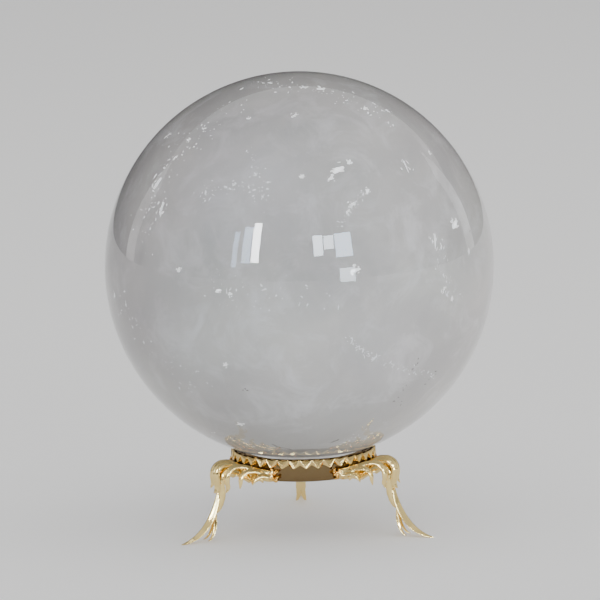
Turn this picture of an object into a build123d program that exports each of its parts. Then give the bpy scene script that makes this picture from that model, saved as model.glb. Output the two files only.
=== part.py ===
"""A polished rock crystal ball on a low gilt tripod stand.

The stand is a plain collar with a spherical seat ground into its top, a crimped gallery
strip round the collar, and three cast acanthus leaf legs brazed to the collar's wall.
The ball rests on the seat by its own weight and lifts straight off.

Millimetres, +Z up. The origin is on the surface that the stand rests on, under the
ball's centre. One leg points along +Y, and the other two stand to the front.
"""

import os
from collections import namedtuple
from math import cos, pi, radians, sin, sqrt

from build123d import *

# ---- driving dimensions -----------------------------------------------------------
BALL_DIAMETER = 80.0
SEAT_GAP = 0.25  # between the ball and everything that holds or surrounds it
STAND_HEIGHT = 17.0  # to the collar's outer top edge

COLLAR_BORE_RADIUS = 13.1
COLLAR_WALL = 1.1
COLLAR_DEPTH = 4.4
BEAD_RADIUS = 0.45  # the bead rolled round the collar's lower edge

FOLD_COUNT = 38
GALLERY_DROP = 1.95  # from the collar's top edge down to the gallery's lower edge
GALLERY_DEPTH = 1.95
FOLD_OUT = 1.15  # how far a fold stands out from the collar's wall
FOLD_IN = 0.55  # how far the hollow beside it does

# The crest of each leg's middle rib. A reach is measured out from the collar's wall.
LEG_COUNT = 3
ROOT_DROP = 2.6
CREST_REACH = 4.3
CREST_DROP = 0.75
SHOULDER_REACH = 8.1
SHOULDER_DROP = 3.2
WAIST_REACH = 7.5
WAIST_DROP = 6.4
ANKLE_REACH = 8.6
ANKLE_SHARE = 0.37  # of the stand's height
ARCH_REACH = 11.4
ARCH_SHARE = 0.16
TOE_REACH = 15.4

RIB_THICKNESS = 1.3
RIB_SHOULDER_WIDTH = 3.4
RIB_WAIST_WIDTH = 3.2
TOE_WIDTH = 0.9
TOE_THICKNESS = 0.55
TOE_LIFT_SHARE = 0.65  # height of a toe's crest for its thickness, so the rest is filed flat

SPUR_SPREAD = 26.0  # degrees between the middle toe and the spur on each side
SPUR_REACH = 2.9
SPUR_WIDTH = 1.2

WING_HALF_ANGLE = 33.0  # degrees of the collar that each leaf wraps, either side
WING_THICKNESS = 1.5
WING_TOP_DROP = 2.1
WING_DEPTH = 2.3
SCALLOP_RADIUS = 1.3
SCALLOP_COUNT = 3

# The side lobes of a leaf. Start and heading are degrees from the leg's own direction.
Lobe = namedtuple("Lobe", "start heading run root_drop crest_drop tip_drop width")
LOBES = [
    Lobe(9.0, 5.0, run=7.1, root_drop=2.8, crest_drop=1.05, tip_drop=6.2, width=2.3),
    Lobe(18.5, 8.0, run=6.4, root_drop=3.0, crest_drop=1.3, tip_drop=5.4, width=2.1),
    Lobe(27.5, 12.0, run=5.5, root_drop=3.2, crest_drop=1.6, tip_drop=4.9, width=2.0),
]
LOBE_THICKNESS = 1.0
LOBE_TIP_WIDTH = 0.6

BRAZE_RADIUS = 0.6
BRAZE_END_RADIUS = 1.0
BRAZE_OVERRUN = 2.5  # degrees that the braze runs on past each end of a wing

# ---- what follows from them -------------------------------------------------------
BALL_RADIUS = BALL_DIAMETER / 2
CLEAR_RADIUS = BALL_RADIUS + SEAT_GAP
COLLAR_RADIUS = COLLAR_BORE_RADIUS + COLLAR_WALL
BALL_HEIGHT = STAND_HEIGHT + sqrt(CLEAR_RADIUS**2 - COLLAR_RADIUS**2)
COLLAR_BASE = STAND_HEIGHT - COLLAR_DEPTH
GALLERY_BASE = STAND_HEIGHT - GALLERY_DROP
WING_TOP = STAND_HEIGHT - WING_TOP_DROP
TOE_TIP = COLLAR_RADIUS + TOE_REACH
ANKLE_HEIGHT = STAND_HEIGHT * ANKLE_SHARE
ARCH_HEIGHT = STAND_HEIGHT * ARCH_SHARE
LEG_NAMES = ["back", "left", "right"]


def make_sphere(radius):
    """A sphere about the ball's centre."""
    with BuildPart() as sphere:
        with Locations((0, 0, BALL_HEIGHT)):
            Sphere(radius)
    return sphere.part


def make_collar(seat):
    """A plain band, beaded round the foot, with the seat ground into its top."""
    with BuildPart() as collar:
        with BuildSketch(Plane.XZ):
            with Locations((COLLAR_BORE_RADIUS, COLLAR_BASE)):
                Rectangle(COLLAR_WALL, COLLAR_DEPTH, align=(Align.MIN, Align.MIN))
            with Locations((COLLAR_BORE_RADIUS + BEAD_RADIUS, COLLAR_BASE)):
                Circle(BEAD_RADIUS)
        revolve(axis=Axis.Z)
        add(seat, mode=Mode.SUBTRACT)
    return collar.part


def fold_corners(reaches):
    """The corners of a ring of folds that stand out by each reach in turn."""
    corners = []
    for n in range(2 * FOLD_COUNT):
        radius = COLLAR_RADIUS + reaches[n % 2]
        angle = pi * n / FOLD_COUNT
        corners.append((radius * cos(angle), radius * sin(angle)))
    return corners


def make_gallery(seat):
    """The crimped strip. A fold that leans out at the top leans in at the bottom."""
    with BuildPart() as gallery:
        with BuildSketch(Plane.XY.offset(GALLERY_BASE)):
            Polygon(*fold_corners([FOLD_IN, FOLD_OUT]), align=None)
        with BuildSketch(Plane.XY.offset(GALLERY_BASE + GALLERY_DEPTH)):
            Polygon(*fold_corners([FOLD_OUT, FOLD_IN]), align=None)
        loft(ruled=True)
        with BuildSketch(Plane.XY.offset(GALLERY_BASE)):
            Circle(COLLAR_RADIUS)
        extrude(amount=GALLERY_DEPTH, mode=Mode.SUBTRACT)
        add(seat, mode=Mode.SUBTRACT)
    return gallery.part


def make_blade(crest, thickness, plan):
    """A curled blade along +X: a side profile under a crest line, trimmed to a plan."""
    steps = 12
    with BuildPart() as blade:
        with BuildSketch(Plane.XZ):
            with BuildLine():
                outer = Spline(*crest)
                inner_points = []
                for n in range(steps + 1):
                    share = n / steps
                    inward = (outer % share).rotate(Axis.Z, -90)
                    inner_points.append(outer @ share + inward * thickness * (1 - share / 2))
                inner = Spline(*inner_points)
                Line(outer @ 0, inner @ 0)
                Line(outer @ 1, inner @ 1)
            make_face()
        extrude(amount=RIB_SHOULDER_WIDTH, both=True)
        with BuildSketch(Plane.XY.offset(-STAND_HEIGHT)):
            Polygon(*plan, align=None)
        extrude(amount=2 * STAND_HEIGHT, mode=Mode.INTERSECT)
    return blade.part


def tongue(points):
    """A plan outline, from its half widths along +X mirrored to both sides."""
    left = [(reach, -half) for reach, half in reversed(points)]
    return points + left


def make_rib():
    """The middle rib, from the collar over the shoulder and down to the toe."""
    crest = [
        (COLLAR_RADIUS - COLLAR_WALL / 2, STAND_HEIGHT - ROOT_DROP),
        (COLLAR_RADIUS + CREST_REACH, STAND_HEIGHT - CREST_DROP),
        (COLLAR_RADIUS + SHOULDER_REACH, STAND_HEIGHT - SHOULDER_DROP),
        (COLLAR_RADIUS + WAIST_REACH, STAND_HEIGHT - WAIST_DROP),
        (COLLAR_RADIUS + ANKLE_REACH, ANKLE_HEIGHT),
        (COLLAR_RADIUS + ARCH_REACH, ARCH_HEIGHT),
        (TOE_TIP, TOE_THICKNESS * TOE_LIFT_SHARE),
    ]
    plan = tongue(
        [
            (0, RIB_SHOULDER_WIDTH / 2),
            (COLLAR_RADIUS + CREST_REACH, RIB_SHOULDER_WIDTH / 2),
            (COLLAR_RADIUS + WAIST_REACH, RIB_WAIST_WIDTH / 2),
            (TOE_TIP, TOE_WIDTH / 2),
        ]
    )
    return make_blade(crest, RIB_THICKNESS, plan)


def make_lobe(lobe):
    """A side lobe of the leaf, over the shoulder and down to its tip, along +X."""
    crest = [
        (0, STAND_HEIGHT - lobe.root_drop),
        (lobe.run * 0.62, STAND_HEIGHT - lobe.crest_drop),
        (lobe.run * 0.95, STAND_HEIGHT - SHOULDER_DROP + 0.6),
        (lobe.run, STAND_HEIGHT - lobe.tip_drop),
    ]
    plan = tongue(
        [
            (0, lobe.width / 2),
            (lobe.run * 0.62, lobe.width / 2),
            (lobe.run * 1.1, LOBE_TIP_WIDTH / 2),
        ]
    )
    return make_blade(crest, LOBE_THICKNESS, plan)


def make_spur():
    """The short spur that springs from the ankle and stands beside the toe, along +X."""
    crest = [
        (0, ANKLE_HEIGHT),
        (SPUR_REACH * 0.3, ANKLE_HEIGHT * 0.45),
        (SPUR_REACH, TOE_THICKNESS * TOE_LIFT_SHARE),
    ]
    plan = tongue([(-SPUR_WIDTH, SPUR_WIDTH / 2), (SPUR_REACH, TOE_WIDTH / 2)])
    return make_blade(crest, TOE_THICKNESS * 1.6, plan)


def make_wing():
    """The part of the leaf that wraps the collar, scalloped along its lower edge."""
    outside = COLLAR_RADIUS + WING_THICKNESS
    rim = 2 * outside * sin(radians(WING_HALF_ANGLE))
    with BuildPart() as wing:
        with BuildSketch(Plane.XY.offset(WING_TOP - WING_DEPTH)):
            Circle(outside)
            Circle(COLLAR_RADIUS, mode=Mode.SUBTRACT)
            Triangle(
                a=rim * 2,
                B=90 - WING_HALF_ANGLE,
                C=90 - WING_HALF_ANGLE,
                rotation=90,
                align=(Align.CENTER, Align.MAX),
                mode=Mode.INTERSECT,
            )
        extrude(amount=WING_DEPTH)
        with Locations((0, 0, WING_TOP - WING_DEPTH)):
            with PolarLocations(
                outside, 2 * SCALLOP_COUNT, -WING_HALF_ANGLE, 2 * WING_HALF_ANGLE, endpoint=True
            ):
                Cylinder(
                    SCALLOP_RADIUS, WING_THICKNESS * 4, rotation=(0, 90, 0), mode=Mode.SUBTRACT
                )
    return wing.part


def make_leg():
    """One leaf leg along +X, cut to fit the collar, the gallery and the ground."""
    relief_radius = COLLAR_RADIUS + FOLD_OUT + SEAT_GAP
    root_radius = COLLAR_RADIUS - COLLAR_WALL / 2
    with BuildPart() as leg:
        add(make_rib())
        for lobe in LOBES:
            for hand in (1, -1):
                start = radians(lobe.start * hand)
                place = (root_radius * cos(start), root_radius * sin(start), 0)
                with Locations(Location(place, (0, 0, lobe.heading * hand))):
                    add(make_lobe(lobe))
        for hand in (1, -1):
            place = (COLLAR_RADIUS + ANKLE_REACH - RIB_THICKNESS / 2, SPUR_WIDTH / 3 * hand, 0)
            with Locations(Location(place, (0, 0, SPUR_SPREAD * hand))):
                add(make_spur())
        add(make_wing())
        with BuildSketch(Plane.XY):
            Circle(COLLAR_RADIUS)
        extrude(amount=STAND_HEIGHT, mode=Mode.SUBTRACT)
        with BuildSketch(Plane.XY.offset(GALLERY_BASE)):
            Circle(relief_radius)
        extrude(amount=STAND_HEIGHT, mode=Mode.SUBTRACT)
        split(bisect_by=Plane.XY, keep=Keep.TOP)
    return leg.part


def make_braze(leg, collar):
    """The braze under one leaf's wing and heaped at its two ends, for the leg along +X."""
    wing_foot = WING_TOP - WING_DEPTH
    half_angle = WING_HALF_ANGLE + BRAZE_OVERRUN
    with BuildPart() as braze:
        with Locations(Location((0, 0, wing_foot), (0, 0, -half_angle))):
            Torus(
                COLLAR_RADIUS + BRAZE_RADIUS / 4,
                BRAZE_RADIUS,
                major_angle=2 * half_angle,
                align=None,
            )
        with Locations((0, 0, wing_foot + BRAZE_END_RADIUS)):
            with PolarLocations(COLLAR_RADIUS, 2, -half_angle, 2 * half_angle, endpoint=True):
                Sphere(BRAZE_END_RADIUS)
        add(leg, mode=Mode.SUBTRACT)
        add(collar, mode=Mode.SUBTRACT)
        with BuildSketch(Plane.XY):
            Circle(COLLAR_RADIUS)
        extrude(amount=STAND_HEIGHT, mode=Mode.SUBTRACT)
    return braze.part


def turned(solid, angle):
    """A copy of a piece, turned about the stand's middle."""
    with BuildPart() as copy:
        with Locations(Location((0, 0, 0), (0, 0, angle))):
            add(solid)
    return copy.part


seat = make_sphere(CLEAR_RADIUS)
collar = make_collar(seat)
leg = make_leg()
braze = make_braze(leg, collar)

pieces = {
    "quartz_ball": make_sphere(BALL_RADIUS),
    "collar": collar,
    "gallery": make_gallery(seat),
}
for n, side in enumerate(LEG_NAMES):
    angle = 90 + n * 360 / LEG_COUNT
    pieces["leg_" + side] = turned(leg, angle)
    pieces["braze_" + side] = turned(braze, angle)

os.makedirs("parts", exist_ok=True)
for name, solid in pieces.items():
    solid.label = name
    export_step(solid, "parts/" + name + ".step")
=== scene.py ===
import math
import random

import bpy
from mathutils import Matrix, Vector


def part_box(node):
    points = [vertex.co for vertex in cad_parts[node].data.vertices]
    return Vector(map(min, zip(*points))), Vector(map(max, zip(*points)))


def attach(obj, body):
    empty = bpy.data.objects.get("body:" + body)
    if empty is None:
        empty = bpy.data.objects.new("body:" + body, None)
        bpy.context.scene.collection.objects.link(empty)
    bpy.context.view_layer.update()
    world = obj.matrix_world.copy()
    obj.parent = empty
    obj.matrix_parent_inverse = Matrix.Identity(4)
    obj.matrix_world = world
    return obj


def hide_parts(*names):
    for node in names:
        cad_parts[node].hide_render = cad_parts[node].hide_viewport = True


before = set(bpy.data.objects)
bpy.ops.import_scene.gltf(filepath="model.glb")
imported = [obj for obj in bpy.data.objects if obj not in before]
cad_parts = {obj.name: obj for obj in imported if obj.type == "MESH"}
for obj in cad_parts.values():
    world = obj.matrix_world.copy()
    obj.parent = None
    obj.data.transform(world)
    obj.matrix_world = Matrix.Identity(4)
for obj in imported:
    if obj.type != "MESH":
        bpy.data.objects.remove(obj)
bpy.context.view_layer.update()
MM = 0.001
WELD = 0.002 * MM

# ---------------------------------------------------------------- places and sizes
ball_low, ball_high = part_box("quartz_ball")
BALL_R = (ball_high[0] - ball_low[0]) / 2
BALL_C = Vector([(a + b) / 2 for a, b in zip(ball_low, ball_high)])
COLLAR_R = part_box("collar")[1][0]
COLLAR_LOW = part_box("collar")[0][2]
COLLAR_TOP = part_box("collar")[1][2]
# How far each leg is turned round the stand, in degrees.
LEG_TURNS = {"leg_back": 90.0, "leg_left": 210.0, "leg_right": 330.0}


# ---------------------------------------------------------------- modelling helpers
def deselect():
    bpy.ops.object.select_all(action="DESELECT")


def named(name):
    o = bpy.context.object
    o.name = name
    o.data.name = name
    return o


def pick(*objects):
    deselect()
    for o in objects:
        o.select_set(True)
    bpy.context.view_layer.objects.active = objects[0]


def edit(o):
    pick(o)
    bpy.ops.object.mode_set(mode="EDIT")


def leave_edit():
    bpy.ops.object.mode_set(mode="OBJECT")


def outward(o):
    edit(o)
    bpy.ops.mesh.select_all(action="SELECT")
    bpy.ops.mesh.normals_make_consistent(inside=False)
    leave_edit()


def apply_modifier(o, kind, **settings):
    pick(o)
    m = o.modifiers.new(kind.lower(), kind)
    for key, value in settings.items():
        setattr(m, key, value)
    bpy.ops.object.modifier_apply(modifier=m.name)


def in_place(o):
    """Put the object's origin at the world's, with its place kept in the mesh."""
    pick(o)
    bpy.ops.object.transform_apply(location=True, rotation=True, scale=True)


def smooth(o, degrees=None):
    pick(o)
    if degrees is None:
        bpy.ops.object.shade_smooth()
    else:
        bpy.ops.object.shade_smooth_by_angle(angle=math.radians(degrees))


def join(name, objects):
    pick(*objects)
    if len(objects) > 1:
        bpy.ops.object.join()
    return named(name)


def turned_copy(o, degrees, name):
    """A separate copy, with its own mesh, turned about the stand's middle."""
    pick(o)
    bpy.ops.object.duplicate(linked=False)
    copy = named(name)
    copy.rotation_euler[2] = math.radians(degrees)
    in_place(copy)
    return copy


def melt(o, voxel):
    """Run the lumps of one piece together into one skin, and ease its steps."""
    apply_modifier(o, "REMESH", mode="VOXEL", voxel_size=voxel, adaptivity=0)
    apply_modifier(o, "SMOOTH", factor=0.5, iterations=2)


def lathe(name, rings, segments):
    """A turned piece: a circle drawn out ring by ring, in mm, and closed on itself."""
    radius, height = rings[0]
    bpy.ops.mesh.primitive_circle_add(
        vertices=segments, radius=radius * MM, location=(0, 0, height * MM)
    )
    o = named(name)
    in_place(o)
    edit(o)
    bpy.ops.mesh.select_all(action="SELECT")
    for next_radius, next_height in rings[1:] + rings[:1]:
        bpy.ops.mesh.extrude_edges_move(
            TRANSFORM_OT_translate={"value": (0, 0, (next_height - height) * MM)}
        )
        share = next_radius / radius
        bpy.ops.transform.resize(
            value=(share, share, 1), center_override=(0, 0, next_height * MM)
        )
        radius, height = next_radius, next_height
    bpy.ops.mesh.select_all(action="SELECT")
    bpy.ops.mesh.remove_doubles(threshold=WELD)
    bpy.ops.mesh.normals_make_consistent(inside=False)
    leave_edit()
    return o


def path(name, points, widths, profile, steps=10):
    """A bar drawn along a curve. Points are in mm and widths swell the profile."""
    bpy.ops.curve.primitive_bezier_curve_add(location=(0, 0, 0))
    o = named(name)
    bpy.ops.object.mode_set(mode="EDIT")
    bpy.ops.curve.select_all(action="SELECT")
    bpy.ops.curve.delete(type="VERT")
    for p in points:
        bpy.ops.curve.vertex_add(location=[c * MM for c in p])
    bpy.ops.curve.select_all(action="SELECT")
    bpy.ops.curve.handle_type_set(type="AUTOMATIC")
    leave_edit()
    curve = o.data
    curve.dimensions = "3D"
    curve.twist_mode = "MINIMUM"
    curve.resolution_u = steps
    curve.bevel_mode = "OBJECT"
    curve.bevel_object = profile
    curve.use_fill_caps = True
    for point, width in zip(curve.splines[0].bezier_points, widths):
        point.radius = width
    pick(o)
    bpy.ops.object.convert(target="MESH")
    o = bpy.context.object
    edit(o)
    bpy.ops.mesh.select_all(action="SELECT")
    bpy.ops.mesh.remove_doubles(threshold=WELD)
    bpy.ops.mesh.normals_make_consistent(inside=False)
    leave_edit()
    return o


def outline(name, points):
    """A closed flat outline in mm, to be drawn along a path."""
    bpy.ops.curve.primitive_bezier_circle_add(location=(0, 0, 0))
    o = named(name)
    bpy.ops.object.mode_set(mode="EDIT")
    bpy.ops.curve.select_all(action="SELECT")
    bpy.ops.curve.delete(type="VERT")
    for x, y in points:
        bpy.ops.curve.vertex_add(location=(x * MM, y * MM, 0))
    bpy.ops.curve.select_all(action="SELECT")
    bpy.ops.curve.cyclic_toggle()
    bpy.ops.curve.spline_type_set(type="POLY")
    leave_edit()
    o.data.dimensions = "2D"
    return o


# ---------------------------------------------------------------- shader helpers
def material(name):
    m = bpy.data.materials.new(name)
    m.use_nodes = True
    nodes = m.node_tree.nodes
    return m, m.node_tree, nodes["Principled BSDF"]


def node(tree, kind, **values):
    """A shader node, with sockets or settings given by name."""
    n = tree.nodes.new(kind)
    for key, value in values.items():
        if key in n.inputs:
            n.inputs[key].default_value = value
        else:
            setattr(n, key, value)
    return n


def link(tree, a, b):
    tree.links.new(a, b)


def ramp(tree, source, stops, interpolation="LINEAR"):
    n = tree.nodes.new("ShaderNodeValToRGB")
    n.color_ramp.interpolation = interpolation
    elements = n.color_ramp.elements
    while len(elements) < len(stops):
        elements.new(0.5)
    for element, (place, colour) in zip(elements, stops):
        element.position = place
        element.color = colour if len(colour) == 4 else (*colour, 1)
    link(tree, source, n.inputs["Fac"])
    return n.outputs["Color"]


def feed(tree, socket, value):
    """Give a socket a fixed value, or another node's output."""
    if isinstance(value, bpy.types.NodeSocket):
        link(tree, value, socket)
    else:
        socket.default_value = value


def maths(tree, operation, *values):
    n = node(tree, "ShaderNodeMath", operation=operation)
    for socket, value in zip(n.inputs, values):
        feed(tree, socket, value)
    return n.outputs[0]


def blend(tree, share, first, second, blend_type="MIX"):
    """The first colour with the second mixed in, or multiplied in, by the given share."""
    n = node(tree, "ShaderNodeMix", data_type="RGBA", blend_type=blend_type)
    for name, value in (("Factor", share), ("A", first), ("B", second)):
        feed(tree, n.inputs[name], value)
    return n.outputs["Result"]


def ranged(tree, source, before, after, interpolation_type="LINEAR"):
    """A value carried from the range before to the range after."""
    n = node(tree, "ShaderNodeMapRange", interpolation_type=interpolation_type)
    link(tree, source, n.inputs["Value"])
    for name, value in zip(("From Min", "From Max", "To Min", "To Max"), (*before, *after)):
        n.inputs[name].default_value = value
    return n.outputs["Result"]


def object_place(tree):
    return tree.nodes.new("ShaderNodeTexCoord").outputs["Object"]


def noise(tree, place, **values):
    """A cloudy pattern of the given Scale, Detail and Roughness at each place."""
    n = node(tree, "ShaderNodeTexNoise", **values)
    link(tree, place, n.inputs["Vector"])
    return n.outputs["Fac"]


def even_finish(name, colour, rough, glow=0.0):
    """One colour and gloss all over, with a little light of its own if it glows."""
    mat, tree, shader = material(name)
    shader.inputs["Base Color"].default_value = (*colour, 1)
    shader.inputs["Roughness"].default_value = rough
    if glow:
        shader.inputs["Emission Color"].default_value = (1.0, 1.0, 1.0, 1)
        shader.inputs["Emission Strength"].default_value = glow
    return mat


def wear(mat, piece):
    piece.data.materials.clear()
    piece.data.materials.append(mat)
    return piece


# ---------------------------------------------------------------- the leaf legs
LEG_VOXEL = 0.12 * MM
FOOT_LEVEL = 0.02 * MM


def ribbed_outline(name, thickness, sag, ridge):
    """A leaf's section: crowned and ridged outside, plain and hollow behind."""
    crown_steps, under_steps = 24, 8
    under_edge, under_step = -0.92, 0.23
    ridge_fade = 0.6
    top = []
    for n in range(crown_steps + 1):
        x = 1 - n / (crown_steps / 2)
        lift = ridge * math.cos(3 * math.pi * x) * (1 - x * x * ridge_fade)
        top.append((x, -sag * x * x + lift))
    under = []
    for n in range(under_steps + 1):
        x = under_edge + n * under_step
        under.append((x, -sag * x * x - thickness))
    return outline(name, top + under)


LEAF = ribbed_outline("leaf section", 0.55, 0.42, 0.10)
SHANK = ribbed_outline("shank section", 0.75, 0.75, 0.10)
WEB = ribbed_outline("web section", 0.2, 0.42, 0.0)
TOE = outline(
    "toe section",
    [
        (1.0, -0.75), (0.45, -0.3), (0.12, 0.0), (-0.12, 0.0), (-0.45, -0.3),
        (-1.0, -0.75), (-0.6, -0.95), (0, -0.7), (0.6, -0.95),
    ],
)
WING = outline(
    "ruffle section",
    [
        (1.0, 0.0), (0.75, 0.65), (0.1, 1.0), (-0.65, 0.75),
        (-1.0, 0.0), (-0.65, -0.75), (0.1, -1.0), (0.75, -0.65),
    ],
)


def upright_path(start_radius, start_angle, heading, steps):
    """Points in an upright plane, from steps of (distance out, height)."""
    a, h = math.radians(start_angle), math.radians(heading)
    x0, y0 = start_radius * math.cos(a), start_radius * math.sin(a)
    return [(x0 + d * math.cos(h), y0 + d * math.sin(h), z) for d, z in steps]


def finger(name, hand, root, bends, widths):
    """A slender finger of the leaf: along the collar from its root, then out and over."""
    points = []
    for angle, radius, height in root:
        a = math.radians(angle * hand)
        points.append((radius * math.cos(a), radius * math.sin(a), height))
    for out, aside, height in bends:
        points.append((out, aside * hand, height))
    return path(name, points, widths, LEAF)


def leg_spine():
    """What runs down the middle of a leg along +X: rib, web, shank and bladed toe."""
    rib = path(
        "middle rib",
        [
            (14.0, 0, 14.2), (16.4, 0, 15.5), (18.8, 0, 16.15), (20.8, 0, 15.55),
            (21.75, 0, 13.9), (21.55, 0, 12.0), (21.4, 0, 10.6), (21.8, 0, 9.8),
        ],
        [1.2, 1.25, 1.2, 1.12, 1.1, 1.05, 0.85, 0.3],
        LEAF,
    )
    web = path(
        "web",
        [(14.2, 0, 13.2), (16.2, 0, 14.35), (18.2, 0, 14.6), (19.5, 0, 13.7)],
        [3.6, 3.6, 2.7, 0.9],
        WEB,
    )
    shank = path(
        "shank",
        [
            (19.0, 0, 14.9), (20.4, 0, 13.6), (20.9, 0, 11.6), (20.95, 0, 9.6),
            (21.2, 0, 7.8), (21.6, 0, 6.3), (22.0, 0, 5.4),
        ],
        [0.8, 0.9, 1.0, 1.1, 1.0, 0.7, 0.2],
        SHANK,
    )
    toe = path(
        "toe",
        [
            (21.2, 0, 9.6), (21.8, 0, 7.7), (22.7, 0, 5.8), (24.1, 0, 3.7),
            (25.9, 0, 1.95), (27.9, 0, 0.8), (29.75, 0, 0.17),
        ],
        [0.5, 0.9, 1.1, 1.15, 1.0, 0.65, 0.22],
        TOE,
    )
    return [rib, web, shank, toe]


def leg_side(hand):
    """The curling fingers, wing lobe and spur at one side of a leg. Hand is 1 or -1."""
    first = finger(
        "first finger", hand, [(26, 14.6, 14.6), (18, 15.4, 15.0)],
        [
            (16.9, 3.35, 15.65), (18.9, 2.9, 15.6), (20.4, 2.85, 14.3),
            (20.75, 2.95, 12.6), (20.5, 3.1, 11.1), (20.8, 3.15, 10.2),
        ],
        [0.55, 0.75, 0.85, 0.88, 0.88, 0.8, 0.6, 0.2],
    )
    second = finger(
        "second finger", hand, [(32, 14.6, 13.9), (26, 15.35, 14.35)],
        [
            (15.9, 5.6, 14.9), (17.5, 5.1, 14.65), (18.6, 5.05, 13.4),
            (18.75, 5.2, 12.1), (18.75, 5.35, 11.1),
        ],
        [0.5, 0.7, 0.82, 0.85, 0.78, 0.6, 0.2],
    )
    third = finger(
        "third finger", hand, [(34, 14.5, 13.3), (30, 15.4, 13.7)],
        [(14.9, 6.9, 13.9), (16.0, 6.7, 13.4), (16.6, 6.7, 12.4), (16.6, 6.8, 11.8)],
        [0.5, 0.75, 0.9, 0.85, 0.6, 0.15],
    )
    lobe = path(
        "wing lobe",
        [
            (13.3, 5.6 * hand, 13.5), (14.6, 5.8 * hand, 13.85), (15.7, 5.8 * hand, 13.4),
            (16.2, 5.9 * hand, 12.6), (16.3, 6.0 * hand, 12.0),
        ],
        [1.1, 1.9, 1.65, 1.0, 0.2],
        LEAF,
    )
    spur = path(
        "spur",
        upright_path(
            21.9, 1.2 * hand, 16 * hand,
            [(0, 5.4), (0.25, 3.6), (0.8, 1.9), (1.6, 0.7), (2.3, 0.22)],
        ),
        [0.4, 0.55, 0.55, 0.38, 0.12],
        TOE,
    )
    return [first, second, third, lobe, spur]


# Bars along the wing: name, distance out at the middle, height, size.
RUFFLES = [
    ("lower ruffle", 15.0, 12.85, 0.6),
    ("middle ruffle", 15.3, 13.55, 0.68),
    ("upper ruffle", 15.05, 14.25, 0.6),
]


def leg_ruffles():
    """Three wavy bars that follow the collar, each drawn in and thinned at its ends."""
    half_span, span_step = 34, 4
    draw_in, end_share = 0.9, 0.6
    wave_height, wave_rate = 0.13, 19
    swell_share, swell_rate = 0.12, 31
    arc = [math.radians(a) for a in range(-half_span, half_span + 1, span_step)]
    bars = []
    for name, reach, height, size in RUFFLES:
        points = []
        for a in arc:
            radius = reach - draw_in * abs(a) ** 3
            wave = wave_height * math.sin(wave_rate * a + height)
            points.append((radius * math.cos(a), radius * math.sin(a), height + wave))
        end = [size * end_share]
        middle = [size * (1 + swell_share * math.sin(swell_rate * a)) for a in arc[1:-1]]
        bars.append(path(name, points, end + middle + end, WING))
    return bars


def make_leaf_leg():
    """One leg along +X, all its leaf work run together and cut off flat at the floor."""
    leg = join("leaf leg", leg_spine() + leg_side(1) + leg_side(-1) + leg_ruffles())
    melt(leg, LEG_VOXEL)
    edit(leg)
    bpy.ops.mesh.select_all(action="SELECT")
    bpy.ops.mesh.bisect(
        plane_co=(0, 0, FOOT_LEVEL), plane_no=(0, 0, 1), use_fill=True, clear_inner=True
    )
    leave_edit()
    smooth(leg)
    return leg


# ---------------------------------------------------------------- gilt finishes
# Metres from the stand's middle with the stain added: browned most up to the first, and
# not at all past the second.
BROWNED, BRIGHT_FROM = 0.0168, 0.0205


def casting_grain():
    """Fine casting grain and the faint marks of polishing, as a height and a mask."""
    wave_share = 1.6
    g = bpy.data.node_groups.new("casting grain", "ShaderNodeTree")
    g.interface.new_socket("Height", in_out="OUTPUT", socket_type="NodeSocketFloat")
    g.interface.new_socket("Rub", in_out="OUTPUT", socket_type="NodeSocketFloat")
    out = g.nodes.new("NodeGroupOutput")
    place = object_place(g)
    grain = noise(g, place, Scale=2600.0, Detail=4.0, Roughness=0.6)
    waves = noise(g, place, Scale=520.0, Detail=2.0, Roughness=0.5)
    rub = noise(g, place, Scale=190.0, Detail=5.0, Roughness=0.7)
    link(g, maths(g, "MULTIPLY_ADD", waves, wave_share, grain), out.inputs["Height"])
    link(g, rub, out.inputs["Rub"])
    return g


GRAIN = casting_grain()


def gilt(name, base, dark, brown, rough, bump):
    """Polished gold plate, browned where it was heated to braze it to the collar."""
    stain_reach, grain_height = 0.006, 0.00006
    mat, tree, shader = material(name)
    grain = tree.nodes.new("ShaderNodeGroup")
    grain.node_tree = GRAIN
    shader.inputs["Metallic"].default_value = 1.0
    place = object_place(tree)
    parts = tree.nodes.new("ShaderNodeSeparateXYZ")
    link(tree, place, parts.inputs[0])
    flat = tree.nodes.new("ShaderNodeCombineXYZ")
    link(tree, parts.outputs["X"], flat.inputs["X"])
    link(tree, parts.outputs["Y"], flat.inputs["Y"])
    out = node(tree, "ShaderNodeVectorMath", operation="LENGTH")
    link(tree, flat.outputs[0], out.inputs[0])
    stain = noise(tree, place, Scale=420.0, Detail=4.0, Roughness=0.65)
    spread = maths(tree, "MULTIPLY_ADD", stain, stain_reach, out.outputs["Value"])
    near = ranged(tree, spread, (BRIGHT_FROM, BROWNED), (0.0, brown))
    link(tree, blend(tree, near, (*base, 1), (*dark, 1)), shader.inputs["Base Color"])
    gloss = ranged(tree, grain.outputs["Rub"], (0.3, 0.75), (rough * 0.6, rough * 1.6))
    link(tree, gloss, shader.inputs["Roughness"])
    lumps = node(tree, "ShaderNodeBump", Strength=bump, Distance=grain_height)
    link(tree, grain.outputs["Height"], lumps.inputs["Height"])
    link(tree, lumps.outputs["Normal"], shader.inputs["Normal"])
    return mat


gold = gilt("gilt brass", (0.93, 0.71, 0.29), (0.55, 0.30, 0.09), 0.3, 0.06, 0.2)
# The collar's gold is painted very dark, as painted shade and a painted dark reflection on its band
# under the gallery.
collar_painted_dark = gilt("gilt collar painted dark", (0.19, 0.135, 0.07), (0.16, 0.10, 0.04), 0.4, 0.12, 0.12)
solder = gilt("browned braze", (0.85, 0.52, 0.14), (0.60, 0.30, 0.06), 0.6, 0.18, 1.0)

leaf = make_leaf_leg()
for name, turn in LEG_TURNS.items():
    copy = turned_copy(leaf, turn, name + "_casting")
    wear(gold, copy)
    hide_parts(name)
    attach(copy, "stand")
pick(leaf)
bpy.ops.object.delete()


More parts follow.
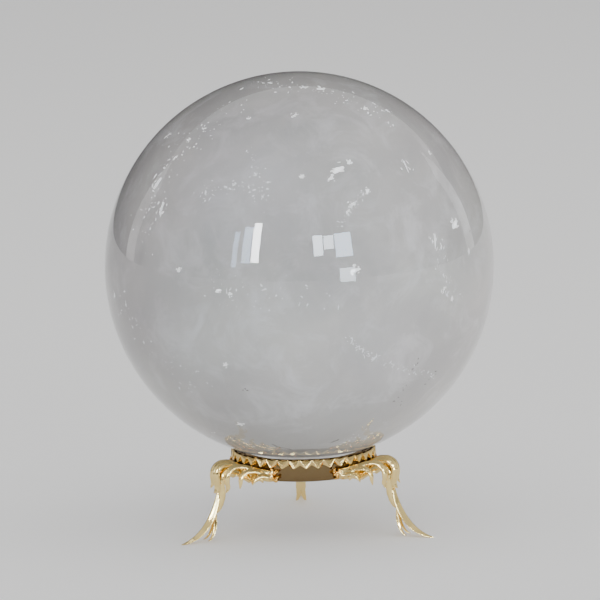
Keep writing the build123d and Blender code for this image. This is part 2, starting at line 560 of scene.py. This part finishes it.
# ---------------------------------------------------------------- collar and gallery
COLLAR_SIDES = 192
FOLDS = 38

wall = COLLAR_R / MM
low, top = COLLAR_LOW / MM, COLLAR_TOP / MM
collar = lathe(
    "collar_band",
    [
        (wall - 1.08, low + 0.5), (wall - 0.98, low + 0.15), (wall - 0.65, low + 0.02),
        (wall - 0.3, low + 0.14), (wall - 0.2, low + 0.45), (wall - 0.1, low + 0.8),
        (wall - 0.02, low + 1.2), (wall - 0.02, top - 0.15), (wall - 0.15, top - 0.04),
        (wall - 0.35, top - 0.14), (wall - 0.85, top - 0.32), (wall - 1.02, top - 0.42),
        (wall - 1.08, top - 0.6),
    ],
    COLLAR_SIDES,
)
smooth(collar, 40)
wear(collar_painted_dark, collar)
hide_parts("collar")
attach(collar, "stand")


def make_gallery():
    """A strip folded out and in round the collar, out at the top where it is in below."""
    drawn, sheet, rounding = 0.75 * MM, 0.32 * MM, 0.16 * MM
    below_box_top = 0.12 * MM
    g_low, g_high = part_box("gallery")[0][2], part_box("gallery")[1][2]
    bpy.ops.mesh.primitive_circle_add(
        vertices=2 * FOLDS, radius=COLLAR_R + drawn, location=(0, 0, g_low)
    )
    o = named("gallery_strip")
    in_place(o)
    edit(o)
    bpy.ops.mesh.select_all(action="SELECT")
    bpy.ops.mesh.extrude_edges_move(
        TRANSFORM_OT_translate={"value": (0, 0, g_high - g_low - below_box_top)}
    )
    leave_edit()
    step = math.pi / FOLDS
    middle = (g_low + g_high) / 2

    def take(high, outer):
        """Select every other corner of the strip's upper or lower edge."""
        leave_edit()
        for v in o.data.vertices:
            column = round(math.atan2(v.co.y, v.co.x) / step) % 2
            is_high = v.co.z > middle
            v.select = is_high == high and ((column == 0) == is_high) == outer
        for e in o.data.edges:
            e.select = False
        for f in o.data.polygons:
            f.select = False
        edit(o)
        bpy.context.tool_settings.mesh_select_mode = (True, False, False)

    # Upper or lower edge, outer or inner corners, their reach past the collar, their rise.
    for high, outer, reach, rise in (
        (True, True, 0.85, 0.0), (True, False, 0.2, -0.3),
        (False, True, 0.95, 0.0), (False, False, 0.2, 0.6),
    ):
        take(high, outer)
        share = (COLLAR_R + reach * MM) / (COLLAR_R + drawn)
        bpy.ops.transform.resize(value=(share, share, 1), center_override=(0, 0, 0))
        bpy.ops.transform.translate(value=(0, 0, rise * MM))
    leave_edit()
    edit(o)
    bpy.ops.mesh.select_all(action="SELECT")
    bpy.ops.mesh.quads_convert_to_tris(quad_method="LONGEST_DIAGONAL")
    bpy.ops.mesh.normals_make_consistent(inside=False)
    leave_edit()
    apply_modifier(o, "SOLIDIFY", thickness=sheet, offset=-1)
    apply_modifier(
        o, "BEVEL", width=rounding, segments=3, limit_method="ANGLE", angle_limit=math.radians(25)
    )
    smooth(o, 35)
    return o


gallery = make_gallery()
wear(gold, gallery)
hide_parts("gallery")
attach(gallery, "stand")


# ---------------------------------------------------------------- braze
BRAZE_VOXEL = 0.09 * MM


def lump(turn, out, height, size):
    """One drop of braze, at an angle round the stand and a distance out."""
    bpy.ops.mesh.primitive_ico_sphere_add(
        subdivisions=2, radius=size, location=(out * math.cos(turn), out * math.sin(turn), height)
    )
    o = bpy.context.object
    in_place(o)
    return o


def make_braze():
    """Lumps of braze heaped at both ends of a leaf's wing, with a thin run below it."""
    heap_count, run_count, run_half = 26, 34, 35
    rng = random.Random(5)
    lumps = []
    low_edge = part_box("braze_back")[0][2]
    for hand in (1, -1):
        for _ in range(heap_count):
            turn = math.radians(hand * rng.uniform(30.0, 37.5))
            out = COLLAR_R + rng.uniform(0.1, 1.05) * MM
            height = low_edge + rng.uniform(0.6, 2.6) * MM
            lumps.append(lump(turn, out, height, rng.uniform(0.2, 0.48) * MM))
    for n in range(run_count):
        turn = math.radians(-run_half + 2 * run_half * n / (run_count - 1))
        out, height = COLLAR_R + 0.2 * MM, low_edge + 0.62 * MM
        lumps.append(lump(turn, out, height, rng.uniform(0.3, 0.42) * MM))
    o = join("braze", lumps)
    melt(o, BRAZE_VOXEL)
    smooth(o)
    return o


braze = make_braze()
for name, turn in LEG_TURNS.items():
    copy = turned_copy(braze, turn, name.replace("leg", "braze") + "_lumps")
    wear(solder, copy)
    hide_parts(name.replace("leg", "braze"))
    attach(copy, "stand")
pick(braze)
bpy.ops.object.delete()
pick(LEAF, SHANK, WEB, TOE, WING)
bpy.ops.object.delete()


# ---------------------------------------------------------------- the ball
SKIN_CUTS, HEART_CUTS = 63, 40
HEART_SHARE = 0.79
CHIP_THICKNESS = 0.03 * MM
TINY = 0.01 * MM
# Pale clouds centred on the heart's surface: turn, lift, reach in mm, strength.
HAZE = [(-26, 33, 19, 0.75), (-14, 40, 9, 0.5), (30, -26, 12, 0.4), (-50, -20, 12, 0.35)]
# How far that surface lies below the skin, in mm.
HEART_DEPTH = 8.4
# Painted light: the heart's colour is scaled brighter towards its right and towards its foot, standing
# in for light and shade.
EVEN_MILK, LIGHTER_RIGHT_PAINTED, LIGHTER_DOWN_PAINTED = 1.03, 0.19, 0.24


def round_body(name, radius, cuts):
    """An even ball with no poles: a block divided finely, then blown up to a sphere."""
    bpy.ops.mesh.primitive_cube_add(size=2 * radius, location=BALL_C)
    o = named(name)
    edit(o)
    bpy.ops.mesh.select_all(action="SELECT")
    bpy.ops.mesh.subdivide(number_cuts=cuts)
    leave_edit()
    apply_modifier(o, "CAST", cast_type="SPHERE", factor=1.0, size=radius, use_radius_as_size=False)
    in_place(o)
    smooth(o)
    return o


def toward_front(turn, lift):
    """The direction some degrees right of straight towards the viewer, and degrees up."""
    a, e = math.radians(turn), math.radians(lift)
    return Vector((math.sin(a) * math.cos(e), -math.cos(a) * math.cos(e), math.sin(e)))


def on_ball(turn, lift, depth):
    """A place inside the ball, mm below its skin, and the way outwards there."""
    out = toward_front(turn, lift)
    return BALL_C + out * (BALL_R - depth * MM), out


def flakes(name, items, seed, jag):
    """Thin torn chips in one piece. Each item: place, outward, length, width, slant, lean."""
    rng = random.Random(seed)
    bpy.ops.mesh.primitive_circle_add(vertices=3, radius=TINY, location=items[0][0])
    o = named(name)
    in_place(o)
    edit(o)
    bpy.ops.mesh.select_all(action="SELECT")
    bpy.ops.mesh.delete(type="VERT")
    for place, out, length, width, slant, lean in items:
        turn = out.to_track_quat("Z", "Y").to_matrix().to_4x4()
        turn = turn @ Matrix.Rotation(math.radians(slant), 4, "Z")
        turn = turn @ Matrix.Rotation(math.radians(lean), 4, "X")
        bpy.ops.mesh.primitive_circle_add(
            vertices=rng.choice((5, 6, 7, 8)),
            radius=MM / 2,
            fill_type="TRIFAN",
            location=place,
            rotation=turn.to_euler(),
        )
        bpy.ops.transform.resize(
            value=(length, width, 1),
            orient_type="LOCAL",
            orient_matrix=[list(axis) for axis in turn.to_3x3().col],
            orient_matrix_type="LOCAL",
            center_override=place,
        )
        bpy.ops.transform.vertex_random(
            offset=jag * min(length, width) * MM, uniform=1.0, seed=rng.randrange(9999)
        )
    leave_edit()
    apply_modifier(o, "SOLIDIFY", thickness=CHIP_THICKNESS, offset=0)
    outward(o)
    return o


def polished_quartz():
    """Clear polished stone, a little smeared, that lets the light through to its heart."""
    mat, tree, shader = material("polished quartz")
    shader.inputs["Base Color"].default_value = (1, 1, 1, 1)
    shader.inputs["Transmission Weight"].default_value = 1.0
    shader.inputs["IOR"].default_value = 1.54
    smear = noise(
        tree, object_place(tree), Scale=60.0, Detail=5.0, Roughness=0.6, Distortion=1.2
    )
    gloss = ranged(tree, smear, (0.45, 0.75), (0.012, 0.05))
    link(tree, gloss, shader.inputs["Roughness"])
    clear = tree.nodes.new("ShaderNodeBsdfTransparent")
    rays = tree.nodes.new("ShaderNodeLightPath")
    mix = tree.nodes.new("ShaderNodeMixShader")
    link(tree, rays.outputs["Is Shadow Ray"], mix.inputs["Fac"])
    link(tree, shader.outputs["BSDF"], mix.inputs[1])
    link(tree, clear.outputs["BSDF"], mix.inputs[2])
    link(tree, mix.outputs["Shader"], tree.nodes["Material Output"].inputs["Surface"])
    return mat


def milky_heart():
    """Grey-white cloud with paler threads and patches, and a faint drift of hue."""
    thread_white, haze_white = (0.66, 0.66, 0.665, 1), (0.70, 0.705, 0.715, 1)
    mat, tree, shader = material("milky heart")
    place = object_place(tree)
    cloud = noise(tree, place, Scale=42.0, Detail=8.0, Roughness=0.6, Distortion=0.5)
    hue = noise(tree, place, Scale=26.0, Detail=2.0, Roughness=0.5)
    wisp = noise(tree, place, Scale=120.0, Detail=9.0, Roughness=0.7, Distortion=0.7)
    body = ramp(
        tree, cloud,
        [(0.3, (0.385, 0.378, 0.375)), (0.5, (0.455, 0.448, 0.435)), (0.7, (0.55, 0.54, 0.515))],
    )
    threads = ramp(tree, wisp, [(0.50, (0, 0, 0)), (0.66, (1, 1, 1))])
    haze = blend(tree, maths(tree, "MULTIPLY", threads, cloud), body, thread_white)
    for turn, lift, reach, strength in HAZE:
        away = node(tree, "ShaderNodeVectorMath", operation="DISTANCE")
        link(tree, place, away.inputs[0])
        away.inputs[1].default_value = on_ball(turn, lift, HEART_DEPTH)[0]
        fade = ranged(
            tree, away.outputs["Value"], (reach * MM, 0.0), (0.0, strength), "SMOOTHSTEP"
        )
        haze = blend(tree, maths(tree, "MULTIPLY", fade, wisp), haze, haze_white)
    hues = ramp(tree, hue, [(0.35, (0.985, 0.99, 0.98)), (0.65, (1.02, 0.975, 0.975))])
    tinted = blend(tree, 1.0, haze, hues, "MULTIPLY")
    # Painted light and shade: the colour is scaled up towards the right and towards the foot.
    lean = node(tree, "ShaderNodeVectorMath", operation="DOT_PRODUCT")
    link(tree, place, lean.inputs[0])
    lean.inputs[1].default_value = (LIGHTER_RIGHT_PAINTED / BALL_R, 0, -LIGHTER_DOWN_PAINTED / BALL_R)
    painted_light_scale = maths(
        tree, "ADD", lean.outputs["Value"], EVEN_MILK + LIGHTER_DOWN_PAINTED * BALL_C.z / BALL_R
    )
    final = node(tree, "ShaderNodeVectorMath", operation="SCALE")
    link(tree, tinted, final.inputs[0])
    link(tree, painted_light_scale, final.inputs["Scale"])
    link(tree, final.outputs[0], shader.inputs["Base Color"])
    shader.inputs["Roughness"].default_value = 0.9
    shader.inputs["Specular IOR Level"].default_value = 0.0
    return mat


skin = wear(polished_quartz(), round_body("quartz_skin", BALL_R, SKIN_CUTS))
core = wear(milky_heart(), round_body("cloudy_heart", BALL_R * HEART_SHARE, HEART_CUTS))

# ---------------------------------------------------------------- flaws in the stone
# White fractures whose glow is a painted glint, standing in for light caught on them.
bright = even_finish("white fracture with painted glint", (0.95, 0.96, 0.97), 0.35, 0.6)
# Pale veil specks with a faint painted glow of their own.
faint = even_finish("veil with painted glow", (0.90, 0.90, 0.91), 0.5, 0.08)
dark = even_finish("dark speck", (0.10, 0.08, 0.07), 0.6)

# Fractures that flash, by the painted glint of their own glow: turn, lift, depth, length, width,
# slant, in degrees and mm.
FLASHES = [
    (-60, 31, 4, 2.9, 0.7, 80), (-54, 24, 5, 2.5, 0.9, 85),
    (-75, 46, 3, 1.8, 0.4, 60), (-52, 80, 5, 1.2, 0.6, 20),
    (9, 76, 4, 1.6, 0.6, 10), (29, 75, 5, 1.8, 0.6, -15),
    (-3, 62, 6, 1.6, 0.6, 50), (47, 61, 5, 1.2, 0.6, 20),
    (60, 57, 4, 1.0, 0.6, 70), (16, 40, 8, 2.5, 1.2, 30),
    (21, 42, 7, 1.2, 0.6, 60), (12, 37, 8, 1.2, 0.6, 0),
    (42, 36, 3, 2.9, 0.45, 85), (0, 37, 6, 1.0, 0.5, 40),
    (25, 31, 7, 1.2, 0.6, 45), (18, 27, 7, 1.4, 0.6, 45),
    (16, 25, 7, 1.0, 0.5, 45), (44, 12, 3, 3.3, 0.6, 75),
    (58, 16, 5, 2.5, 1.4, 30), (16, 6, 6, 2.1, 1.0, 20),
    (-41, 6, 4, 1.2, 0.5, 60), (-28, 0, 6, 1.2, 0.5, 20),
    (-24, -1, 6, 1.0, 0.5, 10), (-74, -5, 2, 1.2, 0.5, 70),
    (-28, -24, 5, 1.0, 0.5, 30), (-31, -48, 4, 1.4, 0.5, 10),
    (47, -3, 4, 1.4, 0.5, 60), (51, -6, 4, 1.0, 0.5, 50),
    (-58, 40, 4, 1.2, 0.5, 70), (-57, 47, 4, 1.0, 0.5, 30),
    (-53, 52, 4, 1.0, 0.4, 20), (-31, 59, 5, 0.8, 0.4, 0),
    (61, 39, 4, 1.0, 0.4, 60), (60, 7, 3, 1.0, 0.4, 80),
    (112, 24, 4, 2.2, 0.8, 50), (138, -8, 5, 1.6, 0.6, 20),
    (165, 38, 4, 2.4, 0.8, 75), (190, 6, 5, 1.4, 0.6, 40),
    (216, -22, 4, 2.0, 0.7, 15), (238, 30, 4, 1.8, 0.6, 65),
]
FLASH_FRAGMENTS = 9
FLASH_SLIMMING = 0.75
rng = random.Random(11)
chips = []
for turn, lift, depth, length, width, slant in FLASHES:
    place, out = on_ball(turn, lift, depth)
    chips.append((place, out, length, width * FLASH_SLIMMING, slant, rng.uniform(-15, 15)))
    for _ in range(FLASH_FRAGMENTS):
        off = Vector([rng.uniform(-0.5, 0.5) * length * MM for _ in range(3)])
        chips.append(
            (
                place + off - out * out.dot(off), out, length * rng.uniform(0.1, 0.4),
                width * rng.uniform(0.1, 0.4), slant + rng.uniform(-40, 40), rng.uniform(-40, 40),
            )
        )
fractures = wear(bright, flakes("fracture_flashes", chips, 3, 0.3))

# Veils of fine specks: turn and lift of each bend, spread in degrees, number of specks.
VEILS = [
    ("veil_upper_left", [(-58, 17), (-59, 29), (-59, 40), (-58, 52), (-46, 62)], 7.0, 110),
    ("veil_slanting", [(13, -15), (19, -20), (26, -24), (38, -28), (54, -32)], 1.1, 110),
    ("veil_phantom", [(-38, 28), (-33, 31), (-26, 33), (-18, 32), (-13, 28)], 2.2, 60),
    ("veil_rising", [(-23, 46), (-18, 39), (-15, 34), (-12, 28)], 3.0, 45),
    ("veil_foot_left", [(-62, -58), (-49, -60), (-37, -63), (-25, -66)], 2.4, 60),
    ("veil_foot_right", [(23, -64), (28, -62), (34, -59), (41, -57)], 2.4, 50),
    ("veil_right", [(46, 12), (48, 4), (50, -2), (53, -7)], 2.0, 45),
    ("veil_crown", [(-79, 76), (-14, 81), (33, 72), (47, 61), (60, 54)], 4.0, 80),
    ("veil_chain", [(23, 30), (20, 28), (17, 26), (14, 23), (11, 19)], 1.2, 40),
    ("veil_lower_left", [(-75, -7), (-64, -15), (-52, -24), (-40, -32)], 6.0, 70),
    ("veil_back_high", [(120, 52), (145, 44), (172, 30), (205, 22)], 4.0, 80),
    ("veil_back_low", [(160, -12), (185, -25), (215, -30), (248, -18)], 4.0, 70),
    ("veil_side", [(96, 10), (110, -4), (128, -20)], 3.0, 50),
    ("veil_middle", [(-32, 3), (-26, 0), (-18, -1), (-5, 1), (7, -3)], 5.0, 50),
]
# These veils wear the fractures' white finish with its painted glint.
BRIGHT_VEILS = ("veil_upper_left", "veil_crown")
VEIL_DEPTHS = (1.5, 7.5)
SPECK_LEAST, SPECK_GROWTH = 0.08, 0.3
# Near the crown a degree of turn is short, and this keeps the spread from running away.
LEAST_NARROWING = 0.3
inner = [core, fractures]
for seed, (name, bends, spread, count) in enumerate(VEILS):
    rng = random.Random(40 + seed)
    specks = []
    for _ in range(count):
        share = rng.random() * (len(bends) - 1)
        first = int(share)
        turn = bends[first][0] + (bends[first + 1][0] - bends[first][0]) * (share - first)
        lift = bends[first][1] + (bends[first + 1][1] - bends[first][1]) * (share - first)
        lift += rng.gauss(0, spread / 2)
        turn += rng.gauss(0, spread / 2) / max(LEAST_NARROWING, math.cos(math.radians(lift)))
        place, out = on_ball(turn, lift, rng.uniform(*VEIL_DEPTHS))
        size = SPECK_LEAST + SPECK_GROWTH * rng.random() ** 3
        specks.append(
            (place, out, size * rng.uniform(1.0, 3.4), size, rng.uniform(0, 180), rng.uniform(-60, 60))
        )
    finish = bright if name in BRIGHT_VEILS else faint
    inner.append(wear(finish, flakes(name, specks, seed, 0.3)))

# Dark mineral specks: turn, lift, depth.
SPECKS = [
    (38, -24, 2.0), (49, -29, 2.0), (47, -32, 2.0), (36, -38, 3.0),
    (38, -40, 2.5), (-22, -32, 3.0), (61, 13, 2.0), (37, -28, 3.0),
    (36, -33, 2.0),
]
# The last veil's draws run on into the specks and the cracks.
GRAINS_PER_SPECK = 3
grit = []
for turn, lift, depth in SPECKS:
    place, out = on_ball(turn, lift, depth)
    for _ in range(GRAINS_PER_SPECK):
        off = Vector([rng.uniform(-0.7, 0.7) * MM for _ in range(3)])
        grit.append((place + off, out, rng.uniform(0.2, 0.5), 0.26, rng.uniform(0, 180), 20))
inner.append(wear(dark, flakes("mineral_specks", grit, 9, 0.25)))

# Hairline cracks low on the front: turn and lift of each bend.
CRACKS = [
    [(-18, -56), (-16, -58), (-9, -60)],
    [(12, -56), (14, -55), (16, -54)],
]
SLITS_PER_STRETCH = 4
CRACK_DEPTH, CRACK_WIDTH, SLIT_OVERLAP = 0.7, 0.32, 1.35
slits = []
for bends in CRACKS:
    for (turn, lift), (next_turn, next_lift) in zip(bends, bends[1:]):
        across = (next_turn - turn) * math.cos(math.radians(lift))
        rise = next_lift - lift
        slant = math.degrees(math.atan2(rise, across))
        stretch = math.radians(math.hypot(across, rise)) * BALL_R / MM
        length = stretch / SLITS_PER_STRETCH * SLIT_OVERLAP
        for n in range(SLITS_PER_STRETCH):
            share = (n + 0.5) / SLITS_PER_STRETCH
            place, out = on_ball(turn + (next_turn - turn) * share, lift + rise * share, CRACK_DEPTH)
            slits.append((place, out, length, CRACK_WIDTH, slant + rng.uniform(-8, 8), 0))
inner.append(wear(dark, flakes("hairline_cracks", slits, 13, 0.2)))

for o in [skin] + inner:
    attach(o, "ball")
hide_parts("quartz_ball")


# ---------------------------------------------------------------- floor and room
bpy.ops.mesh.primitive_plane_add(size=8, location=(0, 0, 0))
floor = named("floor")
wear(even_finish("pale floor", (0.86, 0.86, 0.86), 0.8, 0.14), floor)

# The room that polished things mirror. Its hanging and edges are given as slopes from
# straight ahead, and its ceiling by the height of the direction looked in.
HANGING_TOP, HANGING_TILT, HANGING_HALF = 0.86, 0.13, 1.43
EDGE_HALF, EDGE_TOP, EDGE_LIGHT = 2.1, 1.15, 1.4
CEILING_FROM, CEILING_FULL, CEILING_LIGHT = 0.2, 0.45, 0.9
LEAST_LIGHT = 0.05


def mirrored_light(tree):
    """A dark hanging at the far side between bright edges, a bright ceiling, blotchy walls."""
    toward = tree.nodes.new("ShaderNodeTexCoord").outputs["Generated"]
    split = tree.nodes.new("ShaderNodeSeparateXYZ")
    link(tree, toward, split.inputs[0])
    ahead = maths(tree, "MAXIMUM", split.outputs["Y"], 0.001)
    side = maths(tree, "DIVIDE", split.outputs["X"], ahead)
    up = maths(tree, "DIVIDE", split.outputs["Z"], ahead)
    beside = maths(tree, "ABSOLUTE", side)
    far = maths(tree, "GREATER_THAN", split.outputs["Y"], 0.0)
    height = maths(tree, "ADD", maths(tree, "MULTIPLY", side, HANGING_TILT), up)
    hanging = maths(tree, "MULTIPLY", far, maths(tree, "LESS_THAN", height, HANGING_TOP))
    hanging = maths(tree, "MULTIPLY", hanging, maths(tree, "LESS_THAN", beside, HANGING_HALF))
    edge = maths(tree, "MULTIPLY", far, maths(tree, "GREATER_THAN", beside, HANGING_HALF))
    edge = maths(tree, "MULTIPLY", edge, maths(tree, "LESS_THAN", beside, EDGE_HALF))
    edge = maths(tree, "MULTIPLY", edge, maths(tree, "LESS_THAN", up, EDGE_TOP))
    blotch = noise(tree, toward, Scale=2.4, Detail=2.0, Roughness=0.5)
    mixed = ramp(tree, blotch, [(0.44, (0.03, 0.03, 0.035)), (0.56, (1.1, 1.1, 1.08))])
    ceiling = ranged(
        tree, split.outputs["Z"], (CEILING_FROM, CEILING_FULL), (0.0, CEILING_LIGHT), "SMOOTHSTEP"
    )
    edge_light = maths(tree, "MULTIPLY", edge, EDGE_LIGHT)
    level = maths(tree, "ADD", maths(tree, "MAXIMUM", mixed, ceiling), edge_light)
    level = maths(tree, "MULTIPLY", level, maths(tree, "SUBTRACT", 1.0, hanging))
    return maths(tree, "ADD", level, LEAST_LIGHT)


def soft_room():
    """An even pale room, with a light of its own for whatever mirrors it."""
    world = bpy.data.worlds.new("soft room")
    bpy.context.scene.world = world
    world.use_nodes = True
    tree = world.node_tree
    room = tree.nodes["Background"]
    room.inputs["Color"].default_value = (0.72, 0.715, 0.71, 1)
    mirrored = node(tree, "ShaderNodeBackground")
    link(tree, mirrored_light(tree), mirrored.inputs["Strength"])
    rays = tree.nodes.new("ShaderNodeLightPath")
    chosen = tree.nodes.new("ShaderNodeMixShader")
    link(tree, rays.outputs["Is Glossy Ray"], chosen.inputs["Fac"])
    link(tree, room.outputs[0], chosen.inputs[1])
    link(tree, mirrored.outputs[0], chosen.inputs[2])
    seen = node(tree, "ShaderNodeBackground", Strength=1.0)
    direct = tree.nodes.new("ShaderNodeMixShader")
    link(tree, rays.outputs["Is Camera Ray"], direct.inputs["Fac"])
    link(tree, chosen.outputs[0], direct.inputs[1])
    link(tree, seen.outputs[0], direct.inputs[2])
    link(tree, direct.outputs[0], tree.nodes["World Output"].inputs["Surface"])


soft_room()

# ---------------------------------------------------------------- windows and lamps
LIGHT_AWAY = 1.6
CLEAR_SKY, BLUE_SKY, DEEP_SKY = (0.82, 0.91, 1.0), (0.66, 0.80, 1.0), (0.60, 0.76, 1.0)


def span(degrees):
    """How wide a thing is at the lights' distance, from the degrees it fills."""
    return 2 * LIGHT_AWAY * math.tan(math.radians(degrees / 2))


def window(name, turn, lift, wide, high, strength, colour):
    """A pane of soft light facing the ball, sized in degrees as the ball sees it."""
    out = toward_front(turn, lift)
    bpy.ops.object.light_add(type="AREA", location=BALL_C + out * LIGHT_AWAY)
    o = bpy.context.object
    o.name = name
    lamp = o.data
    lamp.shape = "RECTANGLE"
    lamp.size = span(wide)
    lamp.size_y = span(high)
    lamp.energy = strength * math.pi * lamp.size * lamp.size_y
    lamp.color = colour
    o.rotation_euler = out.to_track_quat("Z", "Y").to_euler()
    return o


# The panes are mirrored and light nothing dull. The lamps light dull things, unmirrored.
for pane in (
    window("window_right", 9.6, 19.0, 5.4, 11.5, 30, CLEAR_SKY),
    window("window_right_pane", 16.2, 20.6, 5.6, 7.5, 26, CLEAR_SKY),
    window("window_far_right", 25.0, 18.5, 9.5, 13.0, 22, BLUE_SKY),
    window("window_low", 25.8, 0.5, 9.0, 10.0, 18, CLEAR_SKY),
    window("window_left", -27.5, 20.5, 4.5, 22.0, 55, (0.96, 0.98, 1.0)),
    window("window_mid_left", -33.0, 19.0, 5.0, 20.0, 14, DEEP_SKY),
    window("window_far_left", -40.0, 16.0, 3.0, 19.0, 10, DEEP_SKY),
):
    pane.visible_diffuse = False
for lamp in (
    window("sky_light", 10.0, 78.0, 70.0, 50.0, 0.8, (1, 1, 1)),
    window("fill_right", 78.0, 6.0, 40.0, 34.0, 2.2, (1.0, 0.99, 0.97)),
    window("fill_front", 22.0, 8.0, 70.0, 40.0, 1.3, (1.0, 0.985, 0.96)),
):
    lamp.visible_glossy = False

# ---------------------------------------------------------------- camera
CAMERA_TURN, CAMERA_LIFT, CAMERA_ROLL = -1.8, 8.0, -1.3
CAMERA_AWAY, AIM_BELOW = 0.65, 0.00709

bpy.ops.object.camera_add()
camera = bpy.context.object
camera.name = "camera"
camera.data.lens = 189.5
camera.data.clip_start = 0.02
camera.location = BALL_C + toward_front(CAMERA_TURN, CAMERA_LIFT) * CAMERA_AWAY
aim = BALL_C - Vector((0, 0, AIM_BELOW))
look = (aim - camera.location).to_track_quat("-Z", "Y").to_matrix().to_4x4()
camera.rotation_euler = (look @ Matrix.Rotation(math.radians(CAMERA_ROLL), 4, "Z")).to_euler()
bpy.context.scene.camera = camera
